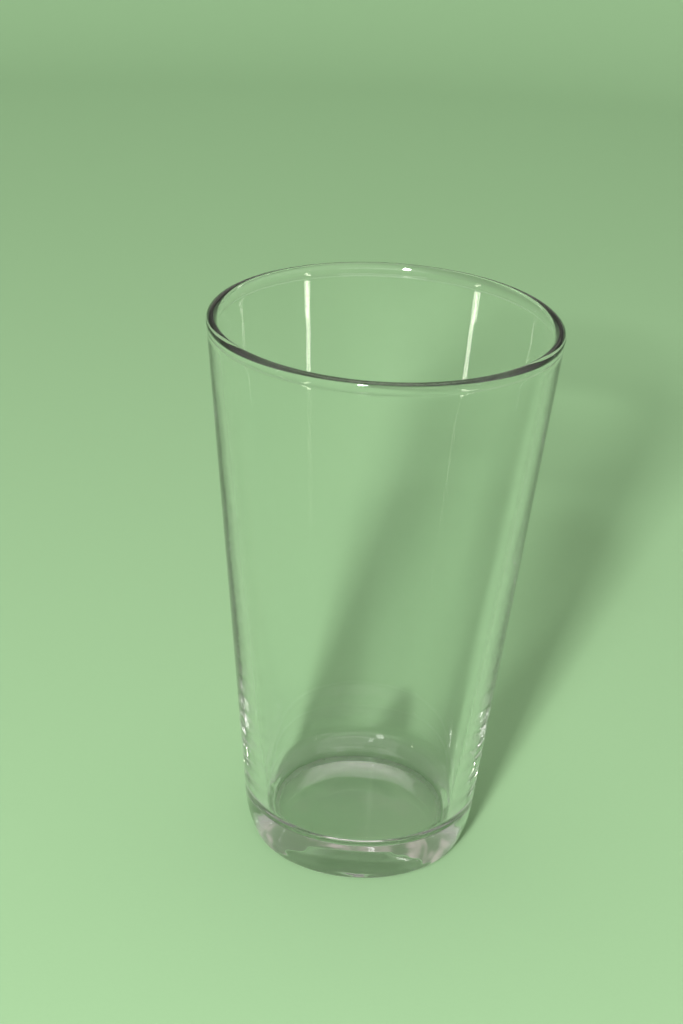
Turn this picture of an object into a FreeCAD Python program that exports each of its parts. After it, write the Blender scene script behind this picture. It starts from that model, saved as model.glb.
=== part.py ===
import FreeCAD, Part
import math
import os

# Mixing glass: a conical bar glass, one closed solid of revolution.
# Its profile is drawn in the XZ plane and turned once about +Z.
# Frame: +Z up along the axis, origin at the centre of the resting plane.
# Millimetres. Points are (r, z) pairs: radius from the axis, height.

# ---------------------------------------------------------------- dimensions
HEIGHT = 146.0            # resting plane to the top of the rim
RIM_R = 44.45             # outer radius at the lip
WALL_SLOPE = 0.10205      # outer wall, radius gained per mm of height

# Lip: a half ellipse for each side of the wall's top
LIP_HALF_W = 1.45         # half of the lip's thickness
LIP_OUT_H = 1.20          # height of the outer half
LIP_IN_H = 2.90           # height of the inner half
BEAD_DROP = 1.00          # inner shoulder under the lip, down to the plain wall

# Wall thickness, measured radially: thin under the lip, thick at the floor
WALL_T_TOP = 2.30
WALL_T_FOOT = 5.20
WALL_LINEAR = 0.74        # share of the thickening that is linear with depth

# Heel: the outside corner between the wall and the bearing ring
HEEL_TANGENT_Z = 10.22    # height at which the heel leaves the straight wall
HEEL_R = 28.0             # upper arc, tangent to the wall
TOE_R = 2.0               # lower arc, tangent to the resting plane

# Underside: bearing ring round a shallow push-up
PUSH_UP_R = 24.0          # radius where the push-up's sphere meets the resting plane
PUSH_UP_H = 1.20          # height of the push-up at the centre
RING_EDGE_R = 4.0         # blend between the push-up and the ring

# Cavity
FLOOR_Z = 8.80            # height of the floor at the centre
FLOOR_SPHERE_R = 590.0    # the floor is very slightly dished
CORNER_R = 5.2            # corner between the floor and the inner wall


# ------------------------------------------------------------ profile helpers
def vec(point):
    r, z = point
    return FreeCAD.Vector(r, 0.0, z)


def point_toward(start, target, distance):
    """Point at a distance from start, on the ray from start through target."""
    dr = target[0] - start[0]
    dz = target[1] - start[1]
    scale = distance / math.hypot(dr, dz)
    return (start[0] + scale * dr, start[1] + scale * dz)


def arc(centre, start, end):
    """Arc about centre from start to end, the short way round."""
    radius = math.hypot(start[0] - centre[0], start[1] - centre[1])
    start_angle = math.atan2(start[1] - centre[1], start[0] - centre[0])
    end_angle = math.atan2(end[1] - centre[1], end[0] - centre[0])
    turn = math.remainder(end_angle - start_angle, 2 * math.pi)
    mid_angle = start_angle + 0.5 * turn
    middle = (centre[0] + radius * math.cos(mid_angle),
              centre[1] + radius * math.sin(mid_angle))
    return Part.Arc(vec(start), vec(middle), vec(end)).toShape()


def line(start, end):
    return Part.LineSegment(vec(start), vec(end)).toShape()


def bezier(*poles):
    curve = Part.BezierCurve()
    curve.setPoles([vec(pole) for pole in poles])
    return curve.toShape()


def ellipse_arc(centre, half_w, half_h, start, end):
    """Exact elliptical arc; its parameters start and end count from +X towards +Z."""
    r, z = centre
    top = vec((r, z + half_h))
    if half_w >= half_h:
        ellipse = Part.Ellipse(vec((r + half_w, z)), top, vec(centre))
    else:
        # The major axis must come first, so parameters count from +Z instead
        ellipse = Part.Ellipse(top, vec((r - half_w, z)), vec(centre))
        start -= math.pi / 2
        end -= math.pi / 2
    return Part.ArcOfEllipse(ellipse, start, end).toShape()


# ----------------------------------------------------------------- underside
# The sphere through the push-up's centre and its circle on the resting plane
dome_r = (PUSH_UP_R ** 2 + PUSH_UP_H ** 2) / (2 * PUSH_UP_H)
dome_top = (0.0, PUSH_UP_H)
dome_c = (0.0, PUSH_UP_H - dome_r)

# The blend touches the sphere from outside and the resting plane from above
blend_c = (math.sqrt((dome_r + RING_EDGE_R) ** 2 - (RING_EDGE_R - dome_c[1]) ** 2),
           RING_EDGE_R)
dome_edge = point_toward(dome_c, blend_c, dome_r)
ring_in = (blend_c[0], 0.0)

# ------------------------------------------------------- lip and outer wall
# The wall line is tangent to the outer ellipse of the lip
lip_out_c = (RIM_R - LIP_HALF_W, HEIGHT - LIP_OUT_H)
lip_in_c = (lip_out_c[0], HEIGHT - LIP_IN_H)
lip_angle = -math.atan(WALL_SLOPE * LIP_OUT_H / LIP_HALF_W)
lip_start = (lip_out_c[0] + LIP_HALF_W * math.cos(lip_angle),
             lip_out_c[1] + LIP_OUT_H * math.sin(lip_angle))


def outer_r(z):
    return lip_start[0] + WALL_SLOPE * (z - lip_start[1])


# ---------------------------------------------------------------------- heel
taper = math.atan(WALL_SLOPE)
heel_top = (outer_r(HEEL_TANGENT_Z), HEEL_TANGENT_Z)
heel_c = (heel_top[0] - HEEL_R * math.cos(taper),
          heel_top[1] + HEEL_R * math.sin(taper))

# The toe arc lies inside the heel's circle and touches it
toe_offset = math.sqrt((HEEL_R - TOE_R) ** 2 - (heel_c[1] - TOE_R) ** 2)
toe_c = (heel_c[0] + toe_offset, TOE_R)
heel_low = point_toward(heel_c, toe_c, HEEL_R)
ring_out = (toe_c[0], 0.0)


# ---------------------------------------------------------------- inner wall
def depth_share(z):
    """0 at the rim, 1 at the floor's centre."""
    return (HEIGHT - z) / (HEIGHT - FLOOR_Z)


def inner_r(z):
    """Outer radius less the wall thickness, which grows with depth."""
    s = depth_share(z)
    growth = WALL_LINEAR * s + (1 - WALL_LINEAR) * s * s
    return outer_r(z) - WALL_T_TOP - (WALL_T_FOOT - WALL_T_TOP) * growth


def inner_slope(z):
    """Radius gained per mm of height: the derivative of inner_r."""
    growth_rate = WALL_LINEAR + 2 * (1 - WALL_LINEAR) * depth_share(z)
    return WALL_SLOPE + (WALL_T_FOOT - WALL_T_TOP) / (HEIGHT - FLOOR_Z) * growth_rate


# Shoulder under the lip
bead_top = (lip_in_c[0] - LIP_HALF_W, lip_in_c[1])
bead_low_z = bead_top[1] - BEAD_DROP
bead_low = (inner_r(bead_low_z), bead_low_z)
bead_slope = inner_slope(bead_low_z)
bead_half = 0.5 * BEAD_DROP

# ------------------------------------------------- cavity corner and floor
floor_centre = (0.0, FLOOR_Z)
floor_sphere_c = (0.0, FLOOR_Z + FLOOR_SPHERE_R)


def corner_centre(z):
    """Centre of the corner arc that touches the inner wall at height z."""
    angle = math.atan(inner_slope(z))
    return (inner_r(z) - CORNER_R * math.cos(angle), z + CORNER_R * math.sin(angle))


def corner_overlap(z):
    """How far that arc's circle reaches through the floor's sphere."""
    r, centre_z = corner_centre(z)
    return math.hypot(r, centre_z - floor_sphere_c[1]) - (FLOOR_SPHERE_R - CORNER_R)


def corner_height():
    """Height at which the corner touches the wall and the floor, by bisection."""
    low = FLOOR_Z
    high = FLOOR_Z + 2.5 * CORNER_R
    for _ in range(80):
        middle = 0.5 * (low + high)
        if corner_overlap(middle) > 0:
            low = middle
        else:
            high = middle
    return 0.5 * (low + high)


corner_top_z = corner_height()
corner_top = (inner_r(corner_top_z), corner_top_z)
corner_c = corner_centre(corner_top_z)
floor_edge = point_toward(floor_sphere_c, corner_c, FLOOR_SPHERE_R)
wall_half = 0.5 * (bead_low_z - corner_top_z)

# -------------------------------------------------------------------- solid
profile = [
    # Underside, from the axis outwards
    arc(dome_c, dome_top, dome_edge),
    arc(blend_c, dome_edge, ring_in),
    line(ring_in, ring_out),
    # Heel and outer wall
    arc(toe_c, ring_out, heel_low),
    arc(heel_c, heel_low, heel_top),
    line(heel_top, lip_start),
    # Lip, over the top and down inside to the plain wall
    ellipse_arc(lip_out_c, LIP_HALF_W, LIP_OUT_H, lip_angle, math.pi / 2),
    ellipse_arc(lip_in_c, LIP_HALF_W, LIP_IN_H, math.pi / 2, math.pi),
    bezier(bead_top,
           (bead_top[0], bead_top[1] - bead_half),
           (bead_low[0] + bead_slope * bead_half, bead_low_z + bead_half),
           bead_low),
    # Inner wall, exactly a parabola
    bezier(bead_low,
           (bead_low[0] - bead_slope * wall_half, bead_low_z - wall_half),
           corner_top),
    # Cavity corner and dished floor, back to the axis
    arc(corner_c, corner_top, floor_edge),
    arc(floor_sphere_c, floor_edge, floor_centre),
    line(floor_centre, dome_top),
]

glass = Part.Face(Part.Wire(profile)).revolve(
    FreeCAD.Vector(0, 0, 0), FreeCAD.Vector(0, 0, 1), 360.0)
# The profile's direction can turn the solid inside out
if glass.Volume < 0:
    glass.reverse()

os.makedirs("parts", exist_ok=True)
glass.exportStep("parts/glass_body.step")
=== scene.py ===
"""Mixing glass: the visual model, its stage and its lights.

The glass is one lathed mesh in clear glass, upright on Z with its bearing ring
at z = 0.  Its profile is in millimetres, as (radius, z); everything else is in
metres.  The front, where the camera stands, is -Y, and +X is to the right.
"""

import math

import bpy
import numpy as np
from mathutils import Matrix, Vector


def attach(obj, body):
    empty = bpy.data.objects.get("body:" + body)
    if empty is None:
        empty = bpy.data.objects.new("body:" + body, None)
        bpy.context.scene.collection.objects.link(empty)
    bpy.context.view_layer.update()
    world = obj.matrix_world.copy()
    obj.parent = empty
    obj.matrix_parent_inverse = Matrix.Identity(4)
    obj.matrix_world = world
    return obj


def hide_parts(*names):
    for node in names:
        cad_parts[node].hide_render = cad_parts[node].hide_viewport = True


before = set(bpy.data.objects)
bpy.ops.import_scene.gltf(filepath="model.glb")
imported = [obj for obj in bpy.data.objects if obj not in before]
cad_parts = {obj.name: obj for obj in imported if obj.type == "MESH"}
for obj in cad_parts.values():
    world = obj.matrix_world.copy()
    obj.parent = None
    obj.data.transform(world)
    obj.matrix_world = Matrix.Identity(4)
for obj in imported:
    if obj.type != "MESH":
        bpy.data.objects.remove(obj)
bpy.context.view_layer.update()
scene = bpy.context.scene

# ------------------------------------------------- glass: driving dimensions, mm
HEIGHT = 146.0
RIM_R = 44.45
WALL_SLOPE = 0.10205          # outer radius gained per mm of height

# lip: two quarter ellipses of one half width, the inner one taller
LIP_HALF_W = 1.45
LIP_OUT_H, LIP_IN_H = 1.20, 2.90
BEAD_DROP = 1.00              # height of the curve from the lip to the inner wall

# wall thickness, part linear and part quadratic in the depth below the rim
WALL_T_TOP, WALL_T_FOOT = 2.30, 5.20
WALL_LINEAR = 0.74

# heel: a big arc below the wall, then a small toe arc down to the ring
HEEL_TANGENT_Z = 10.22
HEEL_R, TOE_R = 28.0, 2.0

# underside: a spherical push-up, rounded off into the flat bearing ring
DOME_BASE_R, PUSH_UP = 24.0, 1.20
RING_EDGE_R = 4.0             # fillet radius between dome and ring

# cavity floor: a large sphere, rounded into the inner wall
FLOOR_Z, FLOOR_SPHERE_R = 8.80, 590.0
CORNER_R = 5.2

SKIN = 0.016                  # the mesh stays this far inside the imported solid
SEGMENTS = 256                # vertices round the glass

# ---------------------------------------------------- glass: derived dimensions
LIP_CENTRE = (RIM_R - LIP_HALF_W, HEIGHT - LIP_OUT_H)
LIP_START_ANGLE = -math.atan(WALL_SLOPE * LIP_OUT_H / LIP_HALF_W)
LIP_START = (LIP_CENTRE[0] + LIP_HALF_W * math.cos(LIP_START_ANGLE),
             LIP_CENTRE[1] + LIP_OUT_H * math.sin(LIP_START_ANGLE))
WALL_R_AT_ZERO = LIP_START[0] - WALL_SLOPE * LIP_START[1]
DEPTH = HEIGHT - FLOOR_Z


def outer_r(z):
    return WALL_R_AT_ZERO + WALL_SLOPE * z


def inner_r(z):
    depth = (HEIGHT - z) / DEPTH
    return outer_r(z) - (WALL_T_TOP + (WALL_T_FOOT - WALL_T_TOP) * (
        WALL_LINEAR * depth + (1 - WALL_LINEAR) * depth * depth))


def inner_slope(z):
    depth = (HEIGHT - z) / DEPTH
    return WALL_SLOPE + (WALL_T_FOOT - WALL_T_TOP) / DEPTH * (
        WALL_LINEAR + 2 * (1 - WALL_LINEAR) * depth)


def along(centre, point, distance):
    """The place at a distance from centre, on the line through point."""
    share = distance / math.dist(centre, point)
    return tuple(c + share * (p - c) for c, p in zip(centre, point))


TAPER = math.atan(WALL_SLOPE)
HEEL_TOP = (outer_r(HEEL_TANGENT_Z), HEEL_TANGENT_Z)
HEEL_CENTRE = (HEEL_TOP[0] - HEEL_R * math.cos(TAPER),
               HEEL_TOP[1] + HEEL_R * math.sin(TAPER))
TOE_CENTRE = (HEEL_CENTRE[0] + math.sqrt((HEEL_R - TOE_R) ** 2
                                         - (HEEL_CENTRE[1] - TOE_R) ** 2),
              TOE_R)
HEEL_LOW = along(HEEL_CENTRE, TOE_CENTRE, HEEL_R)

DOME_R = (DOME_BASE_R ** 2 + PUSH_UP ** 2) / (2 * PUSH_UP)
DOME_CENTRE = (0.0, PUSH_UP - DOME_R)
RING_IN_R = math.sqrt((DOME_R + RING_EDGE_R) ** 2
                      - (RING_EDGE_R + DOME_R - PUSH_UP) ** 2)
RING_EDGE_CENTRE = (RING_IN_R, RING_EDGE_R)
DOME_EDGE = along(DOME_CENTRE, RING_EDGE_CENTRE, DOME_R)
RING_OUT_R = TOE_CENTRE[0]

FLOOR_CENTRE = (0.0, FLOOR_Z + FLOOR_SPHERE_R)


def corner_centre(z):
    """Centre of the corner arc that touches the inner wall at height z."""
    lean = math.atan(inner_slope(z))
    return (inner_r(z) - CORNER_R * math.cos(lean), z + CORNER_R * math.sin(lean))


def corner_top():
    """Height at which that arc also touches the floor sphere, by bisection."""
    low, high = FLOOR_Z, FLOOR_Z + 2.5 * CORNER_R
    for _ in range(80):
        middle = 0.5 * (low + high)
        if math.dist(corner_centre(middle), FLOOR_CENTRE) > FLOOR_SPHERE_R - CORNER_R:
            low = middle
        else:
            high = middle
    return 0.5 * (low + high)


CORNER_TOP_Z = corner_top()
CORNER_CENTRE = corner_centre(CORNER_TOP_Z)
FLOOR_EDGE = along(FLOOR_CENTRE, CORNER_CENTRE, FLOOR_SPHERE_R)


# -------------------------------------------------------------- glass: profile
# Each curve leaves out its first point, which ends the curve before it.
def stations(start, end, steps):
    return np.linspace(start, end, steps + 1)[1:]


def ellipse(centre, half_w, half_h, start, end, steps):
    return [(centre[0] + half_w * math.cos(t), centre[1] + half_h * math.sin(t))
            for t in stations(start, end, steps)]


def arc(centre, radius, start, end, steps):
    """The short way round centre, between two points."""
    first, last = (math.atan2(p[1] - centre[1], p[0] - centre[0])
                   for p in (start, end))
    while last - first > math.pi:
        last -= 2 * math.pi
    while last - first < -math.pi:
        last += 2 * math.pi
    return ellipse(centre, radius, radius, first, last, steps)


def bezier(controls, steps):
    points = []
    for t in stations(0, 1, steps):
        u = 1 - t
        weights = (u ** 3, 3 * u * u * t, 3 * u * t * t, t ** 3)
        points.append(tuple(np.dot(weights, controls)))
    return points


def meridian():
    """Points and their zones, from the middle of the underside, up the outside,
    over the lip and down to the middle of the cavity floor."""
    points, zones = [(0.0, PUSH_UP)], ["push-up"]

    def add(zone, curve):
        points.extend(curve)
        zones.extend([zone] * len(curve))

    add("push-up", arc(DOME_CENTRE, DOME_R, points[0], DOME_EDGE, steps=18))
    add("push-up", arc(RING_EDGE_CENTRE, RING_EDGE_R, DOME_EDGE, (RING_IN_R, 0.0),
                       steps=6))
    add("ring", [(r, 0.0) for r in stations(RING_IN_R, RING_OUT_R, steps=6)])
    add("heel", arc(TOE_CENTRE, TOE_R, (RING_OUT_R, 0.0), HEEL_LOW, steps=9))
    add("heel", arc(HEEL_CENTRE, HEEL_R, HEEL_LOW, HEEL_TOP, steps=10))
    add("outer wall", [(outer_r(z), z) for z in
                       stations(HEEL_TANGENT_Z, LIP_START[1], steps=72)])

    lip_in_centre = (LIP_CENTRE[0], HEIGHT - LIP_IN_H)
    add("lip", ellipse(LIP_CENTRE, LIP_HALF_W, LIP_OUT_H,
                       LIP_START_ANGLE, math.pi / 2, steps=14))
    add("lip", ellipse(lip_in_centre, LIP_HALF_W, LIP_IN_H,
                       math.pi / 2, math.pi, steps=12))

    bead_r, bead_z = RIM_R - 2 * LIP_HALF_W, HEIGHT - LIP_IN_H
    wall_z = bead_z - BEAD_DROP
    wall_r = inner_r(wall_z)
    handle = 0.5 * BEAD_DROP
    add("inner wall", bezier([(bead_r, bead_z),
                              (bead_r, bead_z - handle),
                              (wall_r + inner_slope(wall_z) * handle, wall_z + handle),
                              (wall_r, wall_z)], steps=10))
    crowding = 0.45           # draws the rings closer low down, where the ripples are
    share = stations(0, 1, steps=130)
    heights = wall_z + (CORNER_TOP_Z - wall_z) * (
        (1 + crowding) * share - crowding * share * share)
    add("inner wall", [(inner_r(z), z) for z in heights])
    add("inner wall", arc(CORNER_CENTRE, CORNER_R,
                          (inner_r(CORNER_TOP_Z), CORNER_TOP_Z), FLOOR_EDGE, steps=14))
    add("floor", arc(FLOOR_CENTRE, FLOOR_SPHERE_R, FLOOR_EDGE, (0.0, FLOOR_Z),
                     steps=24))
    points[-1] = (0.0, points[-1][1])
    return np.array(points), zones


# --------------------------------------------------- glass: pressed unevenness
# Depths and pitches in mm.
RIPPLE_DEPTH, RIPPLE_PITCH = 0.006, 5.4
WAVE_DEPTH = 0.020
FLOOR_DEPTH, FLOOR_PITCH = 0.012, 6.3
DIMPLE_DEPTH, DIMPLE_PITCH = 0.014, 8.0
HEEL_DEPTH = 0.022
OUTER_DEPTH = 0.006
STIPPLE_H = 0.055

# sine waves round the glass: (amount, waves per turn, phase, phase per mm of z)
RIPPLE_BEND = [(0.90, 2, 0.4, 0.0), (0.50, 5, 1.1, 0.0)]
RIPPLE_PATCHES = [(0.45, 3, 0.7, 0.05)]
WALL_WAVES = [(0.50, 5, 0.3, 0.011), (0.32, 9, 2.1, -0.017), (0.18, 16, 0.9, 0.030)]
FLOOR_BEND = [(0.60, 3, 0.0, 0.0)]
DIMPLE_BEND = [(1.30, 3, 0.5, 0.0)]
HEEL_WAVES = [(0.60, 13, 0.8, 0.55), (0.40, 29, 2.0, -0.35)]
OUTER_WAVES = [(1.0, 7, 0.8, 0.02)]


def waves(table, angle, z=0.0):
    return sum(amount * np.sin(count * angle + phase + twist * z)
               for amount, count, phase, twist in table)


def rings(distance, pitch, bend):
    """Ridges one pitch apart, shifted along by bend (radians)."""
    return np.sin(2 * math.pi * distance / pitch + bend)


def smooth(x, start, end):
    t = np.clip((x - start) / (end - start), 0, 1)
    return t * t * (3 - 2 * t)


def window(x, fade_in, fade_out):
    """1 between the two fades and 0 beyond them."""
    return smooth(x, *fade_in) * (1 - smooth(x, *fade_out))


def unevenness(zone, r, z, angle):
    """How far the surface moves into the glass at each vertex of a ring, mm."""
    if zone == "inner wall":
        # shallow ripples low in the cavity, broken up round it
        ripple = (rings(z, RIPPLE_PITCH, waves(RIPPLE_BEND, angle))
                  * (0.55 + waves(RIPPLE_PATCHES, angle, z))
                  * window(z, fade_in=(9.0, 13.0), fade_out=(22.0, 62.0)))
        # slow waviness up and round the wall
        wave = (waves(WALL_WAVES, angle, z)
                * window(z, fade_in=(10.0, 24.0), fade_out=(136.0, 142.0)))
        return RIPPLE_DEPTH * ripple + WAVE_DEPTH * wave
    if zone == "floor":
        return (FLOOR_DEPTH * rings(r, FLOOR_PITCH, waves(FLOOR_BEND, angle))
                * window(r, fade_in=(2.0, 6.0), fade_out=(15.0, 20.0)))
    if zone == "push-up":
        return (DIMPLE_DEPTH * (1 + rings(r, DIMPLE_PITCH, waves(DIMPLE_BEND, angle)))
                * window(r, fade_in=(1.0, 5.0), fade_out=(17.0, 22.0)))
    if zone == "heel":
        return (HEEL_DEPTH * (1 + waves(HEEL_WAVES, angle, z))
                * window(z, fade_in=(0.3, 1.6), fade_out=(7.6, 10.1)))
    if zone == "outer wall":
        return (OUTER_DEPTH * (1 + waves(OUTER_WAVES, angle, z))
                * window(z, fade_in=(12.0, 30.0), fade_out=(128.0, 140.0)))
    return np.zeros_like(angle)


def stipple(r):
    """Ticks pressed up into the bearing ring, two vertices on and two off, mm."""
    across = (r - RING_IN_R) / (RING_OUT_R - RING_IN_R)
    if across > 0.99:
        return 0.0
    ticks = (np.arange(SEGMENTS) % 4 < 2).astype(float)
    return STIPPLE_H * ticks * math.sin(math.pi * across) ** 0.5


# ---------------------------------------------------------------------- meshes
def turn(count):
    return np.arange(count) * 2 * math.pi / count


def circle(radius, z, angle):
    """Vertices of one ring; radius and z may vary round it."""
    z = np.broadcast_to(z, angle.shape)
    return np.column_stack((radius * np.cos(angle), radius * np.sin(angle), z)).tolist()


def lathe(name, circles, inside_out=False):
    """A smooth mesh through circles of vertices; a circle of one is a pole.
    Going outwards from a low pole, faces look down unless inside_out."""
    verts, rows, faces = [], [], []
    for ring in circles:
        rows.append(range(len(verts), len(verts) + len(ring)))
        verts += ring
    for a, b in zip(rows[:-1], rows[1:]):
        count = max(len(a), len(b))
        for i in range(count):
            j = (i + 1) % count
            if len(a) == 1:
                faces.append((a[0], b[j], b[i]))
            elif len(b) == 1:
                faces.append((a[i], a[j], b[0]))
            else:
                faces.append((a[i], a[j], b[j], b[i]))
    if inside_out:
        faces = [(face[0], *face[:0:-1]) for face in faces]
    mesh = bpy.data.meshes.new(name)
    mesh.from_pydata(verts, [], faces)
    mesh.polygons.foreach_set("use_smooth", [True] * len(mesh.polygons))
    return mesh


def glass_mesh():
    profile, zones = meridian()
    tangent = np.gradient(profile, axis=0)
    tangent /= np.maximum(np.hypot(tangent[:, 0], tangent[:, 1]), 1e-9)[:, None]
    # profile normals, pointing out of the glass
    normal = np.stack([tangent[:, 1], -tangent[:, 0]], 1)
    angle = turn(SEGMENTS)
    circles = []
    for (r, z), zone, (normal_r, normal_z) in zip(profile, zones, normal):
        if r < 1e-6:
            circles.append([(0.0, 0.0, z / 1000)])
            continue
        inset = unevenness(zone, r, z, angle) + SKIN
        ring_r = r - normal_r * inset
        ring_z = np.maximum(z - normal_z * inset, 0.0)
        if zone == "ring":
            ring_z = ring_z + stipple(r)
        circles.append(circle(ring_r / 1000, ring_z / 1000, angle))
    return lathe("glass_body_visual", circles)


# ---------------------------------------------------------------- shader nodes
MIX_FACTOR, MIX_A, MIX_B = 0, 6, 7     # sockets of a colour Mix node


def node(tree, kind, inputs=None, **settings):
    """A shader node; each input is given a value or linked from a socket."""
    made = tree.nodes.new("ShaderNode" + kind)
    for name, value in settings.items():
        setattr(made, name, value)
    for socket, value in (inputs or {}).items():
        if isinstance(value, bpy.types.NodeSocket):
            tree.links.new(value, made.inputs[socket])
        else:
            made.inputs[socket].default_value = value
    return made


def noise(tree, place, scale, detail, roughness=0.5):
    return node(tree, "TexNoise", {"Vector": place, "Scale": scale, "Detail": detail,
                                   "Roughness": roughness}).outputs["Fac"]


def ramp(tree, value, stops):
    """Stops are (position, grey) or (position, (red, green, blue))."""
    made = node(tree, "ValToRGB", {"Fac": value})
    elements = made.color_ramp.elements
    while len(elements) < len(stops):
        elements.new(1.0)
    for element, (position, shade) in zip(elements, stops):
        element.position = position
        colour = shade if isinstance(shade, tuple) else (shade,) * 3
        element.color = (*colour, 1.0)
    return made.outputs["Color"]


def arithmetic(tree, operation, a, b, clamp=False):
    return node(tree, "Math", {0: a, 1: b}, operation=operation,
                use_clamp=clamp).outputs[0]


def ease(tree, value, start, end, low=1e-9 * 0, high=1.0):
    """Goes smoothly from low to high as value goes from start to end."""
    return node(tree, "MapRange", {"Value": value, "From Min": start, "From Max": end,
                                   "To Min": low, "To Max": high},
                interpolation_type="SMOOTHSTEP").outputs[0]


def mix(tree, factor, a, b, blend="MIX"):
    return node(tree, "Mix", {MIX_FACTOR: factor, MIX_A: a, MIX_B: b},
                data_type="RGBA", blend_type=blend).outputs[2]


def length(tree, vector):
    return node(tree, "VectorMath", {0: vector}, operation="LENGTH").outputs["Value"]


def new_material(name):
    """An empty node material: (material, tree, position)."""
    material = bpy.data.materials.new(name)
    material.use_nodes = True
    tree = material.node_tree
    tree.nodes.clear()
    position = node(tree, "NewGeometry").outputs["Position"]
    return material, tree, position


# ------------------------------------------------------------------- materials
def wiped_film(tree, position):
    """Roughness of a wiped surface: faint dried film and dust specks."""
    film = ramp(tree, noise(tree, position, scale=38.0, detail=5.0, roughness=0.6),
                [(0.50, 0.0), (0.74, 0.022)])
    cells = node(tree, "TexVoronoi", {"Vector": position, "Scale": 210.0})
    speck = ramp(tree, cells.outputs["Distance"], [(0.0, 0.30), (0.050, 0.0)])
    # specks show only in some places
    gate = ramp(tree, noise(tree, position, scale=60.0, detail=1.0),
                [(0.60, 0.0), (0.64, 1.0)])
    specks = arithmetic(tree, "MULTIPLY", speck, gate)
    return arithmetic(tree, "ADD", film, specks, clamp=True)


def base_scuffs(tree, position):
    """Roughness of the scuffed contact band on the underside."""
    axes = node(tree, "SeparateXYZ", {0: position}).outputs
    flat = node(tree, "CombineXYZ", {"X": axes["X"], "Y": axes["Y"]}).outputs[0]
    # ramp positions are radius times 20, so the band is full from 24.1 to 26 mm
    band = ramp(tree, arithmetic(tree, "MULTIPLY", length(tree, flat), 20.0),
                [(0.466, 0.0), (0.482, 1.0), (0.520, 1.0), (0.536, 0.0)])
    # height times 100: full below 1.5 mm, gone by 2.5 mm
    under = ramp(tree, arithmetic(tree, "MULTIPLY", axes["Z"], 100.0),
                 [(0.15, 1.0), (0.25, 0.0)])
    worn = ramp(tree, noise(tree, position, scale=420.0, detail=4.0, roughness=0.7),
                [(0.35, 0.25), (0.60, 0.60)])
    return arithmetic(tree, "MULTIPLY", arithmetic(tree, "MULTIPLY", band, under), worn)


def clear_glass():
    material, tree, position = new_material("clear_glass")
    # faint tint that drifts a little through the pressing
    tint = ramp(tree, noise(tree, position, scale=24.0, detail=2.0),
                [(0.30, (0.972, 0.990, 0.980)), (0.70, (0.986, 0.994, 0.984))])
    roughness = arithmetic(tree, "ADD", wiped_film(tree, position),
                           base_scuffs(tree, position), clamp=True)
    # fire-polish orange peel, very shallow
    peel = node(tree, "Bump", {
        "Strength": 0.30,
        "Distance": 0.00006,
        "Height": noise(tree, position, scale=85.0, detail=2.0),
    })
    surface = node(tree, "BsdfPrincipled", {
        "Transmission Weight": 1.0,
        "IOR": 1.52,
        "Base Color": tint,
        "Roughness": roughness,
        "Normal": peel.outputs[0],
    })
    # the faint grey of glass seen through a long way, edge on
    grey = node(tree, "VolumeAbsorption", {"Color": (0.56, 0.55, 0.56, 1),
                                           "Density": 10.0})
    node(tree, "OutputMaterial", {"Surface": surface.outputs[0],
                                  "Volume": grey.outputs[0]})
    return material


def paper():
    """Pale sage paper, with painted shade that greys it off up the rise and painted
    light right under the glass.
    """
    sage, painted_shade_sage = (0.33, 0.53, 0.30, 1), (0.33, 0.44, 0.31, 1)
    material, tree, position = new_material("studio_paper")
    height = node(tree, "SeparateXYZ", {0: position}).outputs["Z"]
    # painted shade: the paper greys and darkens towards the top of the rise, as if less
    # light reached it there
    sage_with_painted_shade = mix(tree, ease(tree, height, start=0.04, end=0.42), sage, painted_shade_sage)
    fleck = ramp(tree, noise(tree, position, scale=900.0, detail=4.0),
                 [(0.2, 0.985), (0.8, 1.0)])
    flecked = mix(tree, 1.0, sage_with_painted_shade, fleck, blend="MULTIPLY")
    # painted light: the paper right under the glass is painted 1.6 times lighter, to
    # make up for the shade the glass base casts on it in the render
    flat = node(tree, "VectorMath", {0: position, 1: (1, 1, 0)}, operation="MULTIPLY")
    painted_light_under_glass = ease(tree, length(tree, flat.outputs[0]), start=0.0245, end=0.0272,
                low=1.6, high=1.0)
    colour = node(tree, "VectorMath", {0: flecked, "Scale": painted_light_under_glass}, operation="SCALE")
    surface = node(tree, "BsdfPrincipled", {
        "Base Color": colour.outputs[0],
        "Roughness": 0.85,
        "Specular IOR Level": 0.12,
    })
    node(tree, "OutputMaterial", {"Surface": surface.outputs[0]})
    return material


# --------------------------------------------------------------- glass, stage
def add_object(name, data):
    made = bpy.data.objects.new(name, data)
    scene.collection.objects.link(made)
    return made


def add_glass():
    glass = add_object("glass_body_clear", glass_mesh())
    glass.data.materials.append(clear_glass())
    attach(glass, "root")
    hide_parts("glass_body")
    return glass


def add_floor():
    """One plain disc of paper that curves up into a low bowl all round."""
    flat_r, bend_r, wall_h = 0.80, 0.42, 0.445
    floor_z = -0.00012        # just clear of the glass
    profile = [(r, floor_z) for r in (0.05, 0.15, 0.30, 0.50, flat_r)]
    profile += [(flat_r + bend_r * math.sin(t), floor_z + bend_r * (1 - math.cos(t)))
                for t in stations(0, math.pi / 2, steps=24)]
    profile.append((flat_r + bend_r, floor_z + wall_h))
    angle = turn(96)
    circles = [[(0.0, 0.0, floor_z)]] + [circle(r, z, angle) for r, z in profile]
    floor = add_object("studio_floor", lathe("studio_floor", circles, inside_out=True))
    floor.data.materials.append(paper())
    return floor


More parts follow.
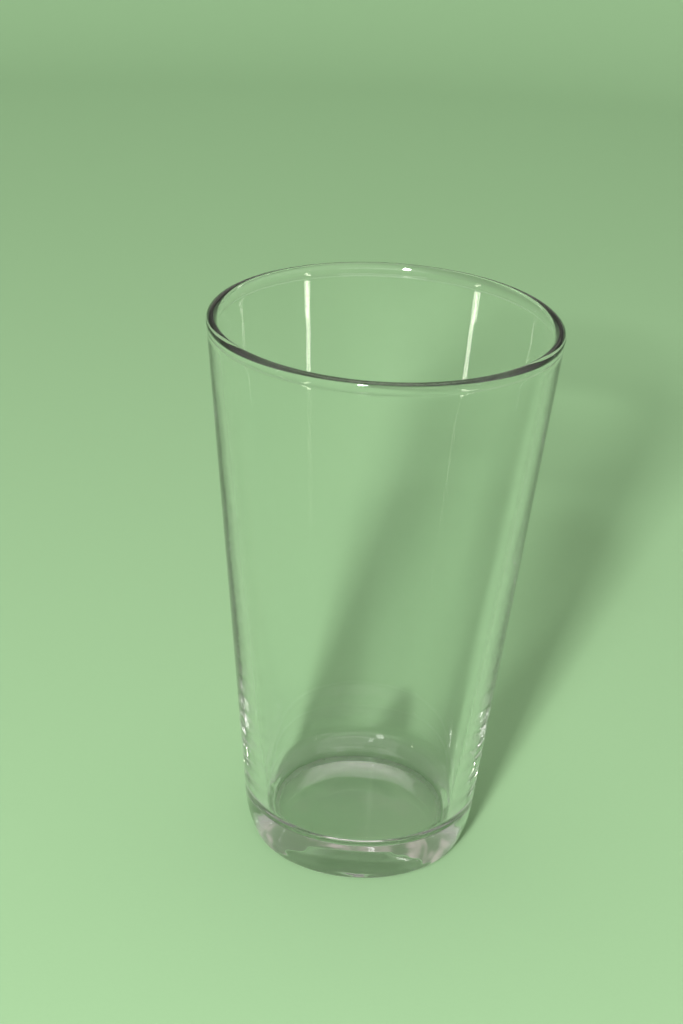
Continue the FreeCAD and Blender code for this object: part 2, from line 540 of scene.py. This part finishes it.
# --------------------------------------------------------------- world, lights
def add_world():
    world = bpy.data.worlds.new("studio")
    scene.world = world
    world.use_nodes = True
    tree = world.node_tree
    direction = node(tree, "TexCoord").outputs["Generated"]
    axes = node(tree, "SeparateXYZ", {0: direction}).outputs
    # the room by sine of the elevation: in front of the glass, and behind it
    front = ramp(tree, axes["Z"], [(0.00, (0.56, 0.54, 0.51)),
                                   (0.52, (0.60, 0.58, 0.55)),
                                   (0.72, (0.30, 0.29, 0.28)),
                                   (1.00, (0.30, 0.29, 0.28))])
    back = ramp(tree, axes["Z"], [(0.00, (0.150, 0.138, 0.136)),
                                  (0.26, (0.150, 0.138, 0.136)),
                                  (0.58, (0.23, 0.34, 0.19)),
                                  (0.80, (0.23, 0.34, 0.19)),
                                  (1.00, (0.46, 0.46, 0.42))])
    # soft beige patches behind the glass
    beige = (0.6, 0.56, 0.49, 1)
    patches = ease(tree, noise(tree, direction, scale=5.0, detail=2.0),
                   start=0.5, end=0.68)
    patchy = mix(tree, patches, back, beige)
    behind = ease(tree, axes["Y"], start=0.20, end=0.70)
    background = tree.nodes["Background"]
    tree.links.new(mix(tree, behind, front, patchy), background.inputs["Color"])
    background.inputs["Strength"].default_value = 1.0


WARM_WHITE = (1.0, 0.98, 0.95)


def softbox(name, where, at, wide, tall, watts, colour=(1, 1, 1)):
    light = bpy.data.lights.new(name, "AREA")
    light.shape = "RECTANGLE"
    light.size, light.size_y = wide, tall
    light.energy, light.color = watts, colour
    box = add_object(name, light)
    box.location = where
    aim = Vector(at) - Vector(where)
    box.rotation_euler = aim.to_track_quat("-Z", "Y").to_euler()
    box.visible_camera = False
    return box


def around(azimuth, distance, z):
    """A place by its bearing in degrees, from the front (-Y) towards +X."""
    t = math.radians(azimuth)
    return (distance * math.sin(t), -distance * math.cos(t), z)


def add_lights():
    softbox("key", around(-12.5, distance=1.45, z=0.77), at=(0, 0, 0.07),
            wide=0.14, tall=0.14, watts=32, colour=WARM_WHITE)
    softbox("front", around(4, distance=1.5, z=0.50), at=(0, 0, 0.08),
            wide=1.7, tall=0.60, watts=4.0, colour=WARM_WHITE)
    softbox("top", (0.0, 0.35, 1.75), at=(0, 0, 0),
            wide=1.3, tall=1.2, watts=6.0, colour=(1.0, 0.95, 0.90))
    softbox("spark", around(-13, distance=1.115, z=1.054), at=(0, 0, 0.05),
            wide=0.12, tall=0.12, watts=4)
    # tall narrow lights, low at both sides, draw the upright streaks and are
    # kept off the paper
    for name, azimuth in (("strip_left", -65.5), ("strip_right", 59.2)):
        strip = softbox(name, around(azimuth, distance=0.59, z=0.052),
                        at=(0, 0, 0.052), wide=0.034, tall=0.092, watts=0.105,
                        colour=(1.0, 0.94, 0.84))
        strip.visible_diffuse = False


# ---------------------------------------------------------------------- camera
CAMERA_PLACE = (0.0, -0.535417, 0.338675)
PITCH = 0.4304                # radians, downwards
YAW = -0.0161                 # radians, towards +X
ROLL = 0.0509                 # radians, lifting the camera's right side
FOCAL_LENGTH = 80.859375      # mm, on a 36 mm sensor


def add_camera():
    forward = np.array([math.sin(YAW) * math.cos(PITCH),
                        math.cos(YAW) * math.cos(PITCH),
                        -math.sin(PITCH)])
    level_right = np.array([math.cos(YAW), -math.sin(YAW), 0.0])
    level_up = np.cross(level_right, forward)
    right = math.cos(ROLL) * level_right + math.sin(ROLL) * level_up
    up = -math.sin(ROLL) * level_right + math.cos(ROLL) * level_up
    lens = bpy.data.cameras.new("camera")
    lens.sensor_fit = "AUTO"
    lens.sensor_width = 36.0
    lens.lens = FOCAL_LENGTH
    lens.clip_start = 0.01
    camera = add_object("camera", lens)
    rows = [tuple(row) for row in np.column_stack((right, up, -forward, CAMERA_PLACE))]
    camera.matrix_world = Matrix((*rows, (0, 0, 0, 1)))
    scene.camera = camera


# ----------------------------------------------------------------------- build
glass = add_glass()
floor = add_floor()
add_world()
add_lights()
add_camera()

# let the key light through the glass, so that its shadow is a glass shadow
bpy.data.lights["key"].cycles.is_caustics_light = True
glass.cycles.is_caustics_caster = True
floor.cycles.is_caustics_receiver = True
scene.cycles.max_bounces = 128
scene.cycles.transmission_bounces = 128
scene.cycles.glossy_bounces = 128
scene.cycles.diffuse_bounces = 4
scene.view_settings.view_transform = "Standard"
